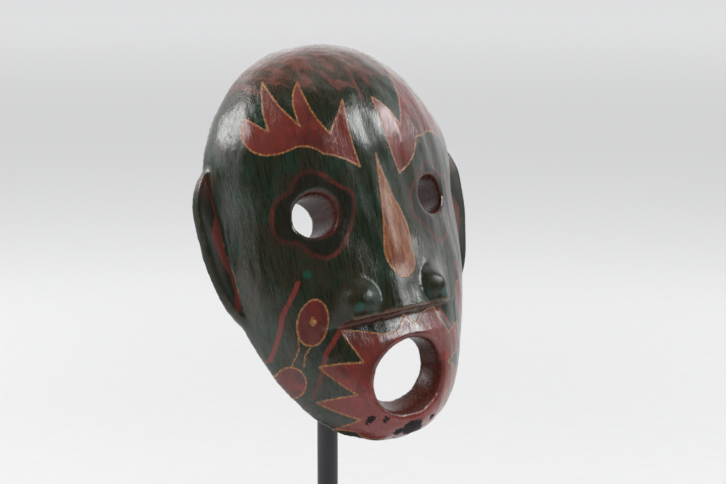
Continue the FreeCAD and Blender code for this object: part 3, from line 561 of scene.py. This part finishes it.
# ------------------------------------------------------------------------------------ material helper
class Graph:
    """Short names for building one tree of shader nodes. Sockets and plain numbers can be mixed freely."""

    def __init__(self, tree):
        self.nodes = tree.nodes
        self.links = tree.links

    def feed(self, socket, value):
        if isinstance(value, bpy.types.NodeSocket):
            self.links.new(value, socket)
        elif isinstance(value, tuple) and socket.type == "RGBA":
            socket.default_value = value + (1.0,)
        else:
            socket.default_value = value

    def math(self, operation, first, second=0.0, third=0.0):
        node = self.nodes.new("ShaderNodeMath")
        node.operation = operation
        for socket, value in zip(node.inputs, (first, second, third)):
            self.feed(socket, value)
        return node.outputs[0]

    def add(self, first, second):
        return self.math("ADD", first, second)

    def times(self, first, second):
        return self.math("MULTIPLY", first, second)

    def invert(self, value):
        return self.math("SUBTRACT", 1.0, value)

    def ramp(self, value, low, high, start=0.0, end=1.0):
        """A smooth step of value, from start at low to end at high."""
        node = self.nodes.new("ShaderNodeMapRange")
        node.interpolation_type = "SMOOTHSTEP"
        for socket, number in zip(node.inputs, (value, low, high, start, end)):
            self.feed(socket, number)
        return node.outputs[0]

    def below(self, value, edge, soft):
        """1 where value is below edge, with a soft border."""
        return self.ramp(value, edge - soft, edge + soft, 1.0, 0.0)

    def band(self, value, half_width, soft):
        """1 where value is within half_width of 0."""
        return self.below(self.math("ABSOLUTE", value), half_width, soft)

    def mix(self, factor, first, second):
        node = self.nodes.new("ShaderNodeMix")
        node.data_type = "RGBA"
        for name, value in (("Factor_Float", factor), ("A_Color", first), ("B_Color", second)):
            self.feed(next(socket for socket in node.inputs if socket.identifier == name), value)
        return next(socket for socket in node.outputs if socket.identifier == "Result_Color")

    def mix_number(self, factor, first, second):
        """A number between first and second."""
        span = self.math("SUBTRACT", second, first)
        return self.math("MULTIPLY_ADD", factor, span, first)

    def attribute(self, name):
        node = self.nodes.new("ShaderNodeAttribute")
        node.attribute_name = name
        return node

    def number(self, name):
        return self.attribute(name).outputs["Fac"]

    def coordinate(self, name, axis):
        """One coordinate of a stored vector."""
        node = self.nodes.new("ShaderNodeSeparateXYZ")
        self.links.new(self.attribute(name).outputs["Vector"], node.inputs[0])
        return node.outputs[axis]

    def place(self, scale=(1.0, 1.0, 1.0), name=None):
        """Stretched coordinates: of a stored vector in millimetres, or of the object itself in metres."""
        mapping = self.nodes.new("ShaderNodeMapping")
        mapping.inputs["Scale"].default_value = scale
        if name:
            source = self.attribute(name).outputs["Vector"]
        else:
            source = self.nodes.new("ShaderNodeTexCoord").outputs["Object"]
        self.links.new(source, mapping.inputs["Vector"])
        return mapping.outputs["Vector"]

    def noise(self, where, scale, detail=3.0, roughness=0.55, distortion=0.0):
        node = self.nodes.new("ShaderNodeTexNoise")
        for name, value in (("Vector", where), ("Scale", scale), ("Detail", detail), ("Roughness", roughness),
                            ("Distortion", distortion)):
            self.feed(node.inputs[name], value)
        return node.outputs["Fac"]

    def bump(self, height, distance, strength=1.0, under=None):
        node = self.nodes.new("ShaderNodeBump")
        node.inputs["Strength"].default_value = strength
        node.inputs["Distance"].default_value = distance
        self.feed(node.inputs["Height"], height)
        if under:
            self.feed(node.inputs["Normal"], under)
        return node.outputs["Normal"]


class Tree(Graph):
    """The nodes of one new material."""

    def __init__(self, name):
        self.material = bpy.data.materials.new(name)
        self.material.use_nodes = True
        super().__init__(self.material.node_tree)
        self.shader = self.nodes["Principled BSDF"]

    def set(self, **inputs):
        """Feeds inputs of the main shader, named with _ for a space."""
        for name, value in inputs.items():
            self.feed(self.shader.inputs[name.replace("_", " ")], value)


# ------------------------------------------------------------------------------------------ materials
GREEN = (0.0092, 0.0165, 0.0068)
GREEN_BROWN = (0.0190, 0.0155, 0.0072)
GREEN_TEAL = (0.0060, 0.0270, 0.0155)
GREEN_DARK = (0.0048, 0.0066, 0.0034)
EAR_GROUND = (0.0074, 0.0078, 0.0040)
TEAL = (0.004, 0.055, 0.036)
RED = (0.114, 0.0180, 0.0125)
RED_DARK = (0.055, 0.0110, 0.0080)
RED_BRIGHT = (0.190, 0.0200, 0.0170)
RED_BROWN = (0.085, 0.0290, 0.0170)
ROSE = (0.135, 0.0560, 0.0410)
OCHRE = (0.235, 0.0890, 0.0230)
OCHRE_PALE = (0.340, 0.1680, 0.0620)
DROP_RED = (0.098, 0.0205, 0.0090)
DROP_OCHRE = (0.180, 0.0660, 0.0160)
RING_BROWN = (0.0085, 0.0065, 0.0042)
WALL_BROWN = (0.094, 0.0240, 0.0140)
WALL_DARK = (0.022, 0.0068, 0.0042)
CHIP_BROWN = (0.008, 0.0045, 0.0035)
WOOD_PALE = (0.150, 0.0880, 0.0470)
WOOD_MID = (0.078, 0.0430, 0.0230)
WOOD_DARK = (0.026, 0.0140, 0.0085)


class Patterns:
    """The noises that every coat of the carving shares, over the stored carving coordinates."""

    def __init__(self, t):
        self.where = t.place(name="carve")
        self.blotches = t.noise(t.place(name="carve", scale=(1.0, 1.0, 0.6)), 0.045, 3.0)
        self.streaks = t.noise(t.place(name="carve", scale=(1.0, 1.0, 0.10)), 0.75, 4.0, 0.6)
        self.fine = t.noise(t.place(name="carve", scale=(1.0, 1.0, 0.07)), 2.2, 2.0, 0.6)
        self.brush = t.noise(t.place(name="carve", scale=(1.0, 1.0, 0.22)), 0.62, 3.0, 0.65, 0.4)
        self.wobble = t.math("MULTIPLY_ADD", t.noise(self.where, 0.35, 3.0), 1.8, -0.9)
        ragged = t.math("MULTIPLY_ADD", t.noise(self.where, 1.6, 2.0), 0.9, -0.45)
        self.sway = t.add(self.wobble, ragged)


def ground_coat(t, p):
    """Dark green brushed over brown, with teal patches, darker inside the rings round the eyes."""
    colour = t.mix(t.ramp(p.blotches, 0.42, 0.62), GREEN, GREEN_BROWN)
    colour = t.mix(t.times(t.ramp(t.noise(p.where, 0.06, 2.0), 0.50, 0.68), 0.75), colour, GREEN_TEAL)
    colour = t.mix(t.times(t.ramp(p.streaks, 0.48, 0.66), 0.55), colour, GREEN_BROWN)
    colour = t.mix(t.times(t.ramp(p.streaks, 0.52, 0.36), 0.65), colour, GREEN_DARK)
    colour = t.mix(t.times(t.below(t.number("flower"), 0.0, 1.0), 0.7), colour, RING_BROWN)
    return t.mix(t.times(t.number("ear"), 0.5), colour, EAR_GROUND)


def crown_coat(t, p, colour):
    """Worn paint and a painted sheen, both rose brown, over the top of the crown, with broad dry brush
    strokes of red.
    """
    height = t.add(t.coordinate("carve", 2), t.times(p.wobble, 9.0))
    # Painted sheen with faded paint: the top of the crown turns rose brown.
    fade_and_painted_sheen = t.times(t.ramp(height, 202.0, 236.0), t.ramp(p.streaks, 0.28, 0.60, 0.35, 0.85))
    colour = t.mix(fade_and_painted_sheen, colour, RED_BROWN)
    reach = t.ramp(t.noise(p.where, 0.12, 2.0), 0.36, 0.64, 0.2, 2.4)
    edge = t.math("SUBTRACT", t.add(t.number("crown"), t.times(p.sway, 1.1)), reach)
    dry = t.times(t.ramp(p.brush, 0.30, 0.60, 0.3, 0.85), t.ramp(p.blotches, 0.30, 0.55, 0.6, 1.0))
    tone = t.mix(t.ramp(p.fine, 0.35, 0.65), RED, ROSE)
    return t.mix(t.times(t.below(edge, 0.2, 1.2), dry), colour, tone)


def red_coat(t, p, colour, distance):
    """The flames, the sunburst and the discs, then the stripes, the rings and the ears' marks."""
    tone = t.mix(t.ramp(p.blotches, 0.40, 0.66), RED, RED_DARK)
    tone = t.mix(t.times(t.ramp(t.noise(p.where, 0.09, 3.0), 0.52, 0.68), 0.7), tone, RED_BRIGHT)
    tone = t.mix(t.times(t.ramp(p.streaks, 0.50, 0.70), 0.6), tone, RED_DARK)
    tone = t.mix(t.times(t.ramp(p.brush, 0.54, 0.70), 0.55), tone, RED_BROWN)
    # Painted sheen with faded paint: the reds turn rose towards the top of the crown.
    tone = t.mix(t.times(t.ramp(t.coordinate("carve", 2), 192.0, 222.0), 0.55), tone, ROSE)
    tone = t.mix(t.times(t.below(t.number("diamond"), 11.0, 3.0), 0.55), tone, RED_DARK)
    chin = t.ramp(t.add(t.coordinate("carve", 2), t.times(p.wobble, 6.0)), 38.0, 10.0)
    tone = t.mix(t.times(chin, 0.45), tone, RED_BRIGHT)
    colour = t.mix(t.below(distance, 0.0, 0.25), colour, tone)
    stripe = t.below(t.add(t.number("stripe"), t.times(p.sway, 0.7)), 1.4, 0.35)
    height = t.coordinate("carve", 2)
    fade = t.times(t.ramp(p.brush, 0.30, 0.52, 0.45, 1.0), t.ramp(height, 30.0, 70.0, 0.25, 1.0))
    colour = t.mix(t.times(stripe, fade), colour, t.mix(0.35, RED, RED_BRIGHT))
    ring = t.band(t.add(t.number("flower"), t.times(p.sway, 1.3)), 1.25, 0.8)
    tone = t.mix(t.ramp(p.blotches, 0.35, 0.6), RED, RED_DARK)
    colour = t.mix(t.times(ring, t.ramp(p.brush, 0.34, 0.60, 0.25, 0.85)), colour, tone)
    mark = t.math("MAXIMUM", t.below(t.add(t.number("ear_area"), t.times(p.sway, 0.4)), 0.0, 0.4),
                  t.below(t.add(t.number("ear_line"), t.times(p.sway, 0.4)), 0.6, 0.5))
    mark = t.math("MAXIMUM", mark, t.times(t.below(t.add(t.number("ear_top"), p.sway), 0.0, 2.5), 0.3))
    mark = t.math("MAXIMUM", mark, t.times(t.number("ledge"), 0.55))
    return t.mix(t.times(mark, 0.8), colour, RED)


def drop_coat(t, p, colour, distance):
    """The drop down the nose, red brushed over with ochre."""
    tone = t.mix(t.ramp(p.streaks, 0.44, 0.60), DROP_RED, DROP_OCHRE)
    tone = t.mix(t.times(t.ramp(p.fine, 0.54, 0.62), 0.75), tone, OCHRE)
    return t.mix(t.below(distance, 0.0, 0.3), colour, tone)


def ochre_lines(t, p, red_distance, drop_distance):
    """How much of the thin, dry ochre outline lies at each place."""
    lines = t.math("MAXIMUM", t.band(red_distance, 0.55, 0.28), t.band(drop_distance, 0.55, 0.28))
    lines = t.math("MAXIMUM", lines, t.below(t.add(t.number("stem"), t.times(p.sway, 0.5)), 0.5, 0.3))
    lines = t.math("MAXIMUM", lines, t.below(t.add(t.number("diamond"), t.times(p.sway, 0.8)), 0.1, 0.5))
    ear = t.below(t.add(t.number("ear_trim"), t.times(p.sway, 0.5)), 0.35, 0.3)
    lines = t.math("MAXIMUM", lines, t.times(ear, t.ramp(p.brush, 0.42, 0.56)))
    return t.times(lines, t.ramp(t.noise(p.where, 0.9, 4.0, 0.65), 0.38, 0.56, 0.15, 1.0))


def wall_coat(t, p, colour):
    """Brown wash with red runs inside the eyes and the mouth."""
    along = t.noise(t.place(name="carve", scale=(1.0, 0.15, 1.0)), 0.9, 4.0, 0.6)
    tone = t.mix(t.ramp(along, 0.36, 0.64), WALL_DARK, WALL_BROWN)
    tone = t.mix(t.times(t.ramp(t.noise(p.where, 0.16, 2.0), 0.42, 0.60), 0.7), tone, RED_DARK)
    return t.mix(t.number("wall"), colour, tone)


def chipped(t, p):
    """1 where the paint has flaked off the chin."""
    torn = t.math("MULTIPLY_ADD", t.noise(p.where, 0.42, 5.0, 0.75), 9.0, -4.5)
    return t.below(t.add(t.number("chip"), torn), -0.2, 0.25)


def bare_wood(t, p):
    """Old wood of the hollow, with its grain up the face."""
    rings = t.noise(t.place(name="carve", scale=(1.0, 0.6, 0.05)), 0.45, 5.0, 0.6, 0.6)
    colour = t.mix(t.ramp(rings, 0.35, 0.65), WOOD_MID, WOOD_PALE)
    colour = t.mix(t.times(t.ramp(p.fine, 0.5, 0.7), 0.6), colour, WOOD_DARK)
    return t.mix(t.times(t.ramp(p.blotches, 0.40, 0.66), 0.7), colour, WOOD_DARK)


def wear(t, p):
    """How far the paint is rubbed through, on sharp edges, along the rim and in a few flecks."""
    rubbed = t.ramp(t.add(t.number("edge"), t.times(t.noise(p.where, 0.3, 4.0), 0.10)), 0.115, 0.17)
    low_rim = t.times(t.below(t.add(t.number("rim"), p.wobble), 1.0, 0.5),
                      t.ramp(t.noise(p.where, 0.2, 3.0), 0.4, 0.55))
    flecks = t.ramp(t.noise(p.where, 0.55, 2.0, 0.7), 0.70, 0.74)
    worn = t.math("MAXIMUM", t.times(rubbed, 0.45), t.times(low_rim, 0.6))
    return t.math("MAXIMUM", worn, t.times(flecks, 0.2))


def painted_wood():
    """Dark green paint with red and ochre motifs under worn varnish; bare wood behind."""
    t = Tree("painted_carving")
    p = Patterns(t)
    red_distance = t.add(t.number("red"), t.times(p.sway, 0.5))
    drop_distance = t.add(t.number("drop"), t.times(p.sway, 0.5))
    colour = crown_coat(t, p, ground_coat(t, p))
    colour = red_coat(t, p, colour, red_distance)
    colour = drop_coat(t, p, colour, drop_distance)
    lines = ochre_lines(t, p, red_distance, drop_distance)
    colour = t.mix(lines, colour, t.mix(t.ramp(t.noise(p.where, 0.8, 2.0), 0.48, 0.66), OCHRE, OCHRE_PALE))
    teal = t.below(t.add(t.number("teal"), t.times(p.sway, 1.3)), 0.0, 1.1)
    colour = t.mix(t.times(teal, 0.8), colour, TEAL)
    colour = wall_coat(t, p, colour)
    chip = chipped(t, p)
    colour = t.mix(chip, colour, CHIP_BROWN)
    colour = t.mix(wear(t, p), colour, t.mix(t.ramp(p.fine, 0.4, 0.6), WOOD_MID, WOOD_PALE))
    spill = t.add(t.add(t.number("painted"), t.number("wall")), t.times(p.sway, 0.12))
    covered = t.ramp(spill, 0.35, 0.6)
    colour = t.mix(covered, bare_wood(t, p), colour)

    grain = t.add(t.times(p.brush, 0.65), t.times(p.fine, 0.35))
    normal = t.bump(grain, 0.42 * MM, 0.6)
    normal = t.bump(t.add(t.times(lines, 0.5), t.times(t.invert(chip), 1.2)), 0.16 * MM, 0.7, normal)
    normal = t.bump(t.noise(p.where, 3.0, 2.0), 0.02 * MM, 0.6, normal)
    dull = t.math("MAXIMUM", t.times(chip, 0.35), t.times(t.number("ear"), 0.22))
    gloss = t.add(t.ramp(p.streaks, 0.3, 0.7, 0.24, 0.36), dull)
    sheltered = t.math("MAXIMUM", t.times(t.number("ear"), 0.7), t.times(t.number("wall"), 0.72))
    varnish = t.times(covered, t.times(t.invert(chip), t.ramp(p.brush, 0.35, 0.65, 1.0, 0.65)))
    varnish = t.times(varnish, t.invert(sheltered))
    thin = t.below(t.add(t.number("rubbed"), t.times(p.wobble, 3.0)), 0.0, 5.0)
    varnish = t.times(varnish, t.invert(t.times(thin, 0.72)))
    t.set(Base_Color=colour, Roughness=t.mix_number(covered, 0.72, gloss), Normal=normal,
          Specular_IOR_Level=t.mix_number(sheltered, 0.25, 0.08), Coat_Weight=varnish,
          Coat_Roughness=t.add(t.ramp(p.brush, 0.35, 0.65, 0.13, 0.18), dull), Coat_Normal=normal)
    return t.material


def black_wood():
    """Black stained and waxed hardwood with the grain along X."""
    t = Tree("black_wood")
    rings = t.noise(t.place((6.0, 90.0, 90.0)), 3.0, 5.0, 0.6, 0.5)
    pores = t.noise(t.place((25.0, 900.0, 900.0)), 1.0, 2.0)
    cloud = t.noise(t.place(), 14.0, 3.0)
    colour = t.mix(t.ramp(rings, 0.38, 0.66), (0.010, 0.009, 0.008), (0.034, 0.028, 0.023))
    colour = t.mix(t.times(t.ramp(pores, 0.55, 0.7), 0.6), colour, (0.004, 0.004, 0.004))
    closed = t.invert(t.ramp(pores, 0.5, 0.72))
    normal = t.bump(t.add(t.times(rings, 0.4), t.times(closed, 0.6)), 0.25 * MM, 0.5)
    t.set(Base_Color=colour, Roughness=t.ramp(cloud, 0.3, 0.7, 0.34, 0.5), Normal=normal, Coat_Weight=0.15,
          Coat_Roughness=0.3)
    return t.material


def felt():
    """Pressed black felt."""
    t = Tree("felt")
    fibres = t.noise(t.place(), 1400.0, 4.0, 0.75, 1.2)
    clumps = t.noise(t.place(), 220.0, 3.0)
    colour = t.mix(t.ramp(fibres, 0.35, 0.7), (0.012, 0.012, 0.013), (0.055, 0.054, 0.056))
    normal = t.bump(t.add(t.times(fibres, 0.6), t.times(clumps, 0.4)), 0.5 * MM, 0.8)
    t.set(Base_Color=colour, Roughness=0.95, Normal=normal, Sheen_Weight=0.5, Sheen_Roughness=0.5)
    return t.material


def black_steel():
    """Steel rod with a fine satin black coating."""
    t = Tree("black_steel")
    peel = t.noise(t.place(), 1300.0, 2.0, 0.6)
    cloud = t.noise(t.place(), 35.0, 4.0)
    colour = t.mix(t.ramp(cloud, 0.35, 0.7), (0.012, 0.012, 0.014), (0.026, 0.026, 0.030))
    scuff = t.ramp(t.noise(t.place((1.0, 1.0, 0.15)), 260.0, 3.0, 0.7), 0.66, 0.72)
    colour = t.mix(t.times(scuff, 0.25), colour, (0.09, 0.09, 0.095))
    t.set(Base_Color=colour, Metallic=0.0, Roughness=t.ramp(cloud, 0.3, 0.7, 0.36, 0.52),
          Normal=t.bump(peel, 0.08 * MM, 0.6))
    return t.material


def brushed(name, light, dark, roughness):
    """Turned metal with fine rings and a little tarnish."""
    t = Tree(name)
    turned = t.noise(t.place((60.0, 900.0, 60.0)), 3.0, 2.0)
    tarnish = t.noise(t.place(), 140.0, 4.0, 0.6)
    colour = t.mix(t.ramp(tarnish, 0.42, 0.68), light, dark)
    t.set(Base_Color=colour, Metallic=1.0, Roughness=t.ramp(tarnish, 0.3, 0.7, roughness, roughness + 0.2),
          Normal=t.bump(turned, 0.06 * MM, 0.5))
    return t.material


def rubber():
    """Dusty black rubber."""
    t = Tree("rubber")
    grain = t.noise(t.place(), 900.0, 3.0, 0.7)
    dust = t.noise(t.place(), 60.0, 4.0)
    colour = t.mix(t.ramp(dust, 0.4, 0.75), (0.014, 0.014, 0.014), (0.045, 0.043, 0.040))
    t.set(Base_Color=colour, Roughness=t.ramp(dust, 0.3, 0.7, 0.62, 0.8), Normal=t.bump(grain, 0.1 * MM, 0.7))
    return t.material


# --------------------------------------------------------------------------------------------- pieces
def make_mask():
    """The sculpted and painted mask that takes the place of the CAD node."""
    obj = voxel_copy("carved_mask", "mask", VOXEL)
    around = sculpt(obj.data)
    paint_guides(obj.data, around)
    obj.data.shade_smooth()
    obj.data.materials.clear()
    obj.data.materials.append(painted_wood())
    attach(obj, "mask")
    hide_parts("mask")
    return obj


def dress_stand():
    """Gives every CAD node but the mask its material, through its own slots."""
    steel = black_steel()
    brass = brushed("brass", (0.62, 0.42, 0.17), (0.28, 0.17, 0.07), 0.24)
    wood = black_wood()
    zinc = brushed("plain_steel", (0.52, 0.52, 0.54), (0.30, 0.30, 0.32), 0.28)
    pad, grip = felt(), rubber()
    finishes = {"stand_base": wood, "base_felt": pad, "post": steel, "post_plug": zinc, "post_bolt": zinc,
                "post_washer": zinc, "clamp_collar": steel, "height_screw": brass, "height_rod": steel,
                "swivel_block": steel, "swivel_screw": brass, "spine": steel, "cross_bar": steel,
                "tip_sleeves": grip, "chin_bumper": grip}
    for node, material in finishes.items():
        for n in range(len(NODES[node].material_slots)):
            NODES[node].material_slots[n].material = material


# ---------------------------------------------------------------------------------------------- stage
def make_floor():
    """A wide pale floor under the base; its tone rises with the distance from the object."""
    level = CAD_BOX[0].z
    mesh = bpy.data.meshes.new("floor")
    half = FLOOR_HALF
    corners = [(-half, -half, level), (half, -half, level), (half, half, level), (-half, half, level)]
    mesh.from_pydata(corners, [], [(0, 1, 2, 3)])
    floor = bpy.data.objects.new("floor", mesh)
    bpy.context.scene.collection.objects.link(floor)
    t = Tree("pale_floor")
    far = t.nodes.new("ShaderNodeVectorMath")
    far.operation = "LENGTH"
    t.links.new(t.place(), far.inputs[0])
    distance = far.outputs["Value"]
    fibre = t.noise(t.place(), 60.0, 3.0)
    tone = t.add(t.ramp(distance, 0.45, 1.1, FLOOR_NEAR, FLOOR_BEHIND),
                 t.ramp(distance, 1.2, 5.5, 0.0, FLOOR_FAR - FLOOR_BEHIND))
    tone = t.add(tone, t.math("MULTIPLY_ADD", fibre, 0.03, -0.015))
    t.set(Base_Color=tone, Roughness=0.85)
    mesh.materials.append(t.material)


def compass(azimuth, elevation):
    """A unit vector from the object towards a direction round it; azimuth 0 is straight ahead of the face."""
    turn, rise = math.radians(azimuth), math.radians(elevation)
    return Vector((math.sin(turn) * math.cos(rise), -math.cos(turn) * math.cos(rise), math.sin(rise)))


def area_light(name, azimuth, elevation, distance, width, height, power):
    """A soft box that looks at the middle of the object from a compass direction round it."""
    back = compass(azimuth, elevation)
    data = bpy.data.lights.new(name, "AREA")
    data.shape = "RECTANGLE"
    data.size, data.size_y = width, height
    data.energy = power
    light = bpy.data.objects.new(name, data)
    light.location = LOOK_AT + back * distance
    light.rotation_mode = "QUATERNION"
    light.rotation_quaternion = back.to_track_quat("Z", "Y")
    bpy.context.scene.collection.objects.link(light)
    return light


def make_camera():
    """The camera at three-quarters from the mask's right-hand side."""
    back = compass(CAMERA_AZIMUTH, CAMERA_ELEVATION)
    data = bpy.data.cameras.new("camera")
    data.lens, data.sensor_width = LENS, SENSOR
    camera = bpy.data.objects.new("camera", data)
    camera.location = LOOK_AT + back * CAMERA_DISTANCE
    camera.rotation_mode = "QUATERNION"
    camera.rotation_quaternion = back.to_track_quat("Z", "Y")
    bpy.context.scene.collection.objects.link(camera)
    bpy.context.scene.camera = camera


def make_world():
    """A pale even room for the paint. Reflections see it darker on the camera's side."""
    world = bpy.data.worlds.new("studio")
    world.use_nodes = True
    g = Graph(world.node_tree)
    direction = g.nodes.new("ShaderNodeTexCoord").outputs["Generated"]
    toward = g.nodes.new("ShaderNodeVectorMath")
    toward.operation = "DOT_PRODUCT"
    g.feed(toward.inputs[0], direction)
    g.feed(toward.inputs[1], compass(CAMERA_AZIMUTH, 28.0))
    rays = g.nodes.new("ShaderNodeLightPath").outputs
    seen = g.ramp(toward.outputs["Value"], -0.45, 0.30, ROOM_BEHIND, ROOM_AT_CAMERA)
    strength = g.mix_number(rays["Is Glossy Ray"], ROOM_LIGHT, seen)
    strength = g.mix_number(rays["Is Camera Ray"], strength, BACKDROP)
    background = g.nodes["Background"]
    background.inputs["Color"].default_value = (0.985, 0.99, 1.0, 1.0)
    g.feed(background.inputs["Strength"], strength)
    bpy.context.scene.world = world


def light_only(light, obj):
    """Keeps a light off the floor and the stand."""
    receivers = bpy.data.collections.new(light.name + "_receivers")
    receivers.objects.link(obj)
    light.light_linking.receiver_collection = receivers


def make_lights(mask):
    """Two windows, the pale wall beside one, a strip along the cheek and a weak light from above."""
    area_light("right_window", 48.5, 30.0, 1.6, 0.58, 0.58, 15.0)
    area_light("left_window", -122.0, 43.0, 1.6, 1.20, 0.50, 18.0)
    area_light("left_wall", -118.0, 24.0, 1.8, 1.40, 0.50, 4.5)
    light_only(area_light("cheek_strip", -86.0, 2.0, 1.8, 0.20, 1.3, 2.2), mask)
    area_light("overhead", 80.0, 74.0, 1.8, 1.2, 1.2, 3.0)


carved_mask = make_mask()
dress_stand()
make_floor()
make_world()
make_lights(carved_mask)
make_camera()
bpy.context.scene.view_settings.view_transform = "Standard"
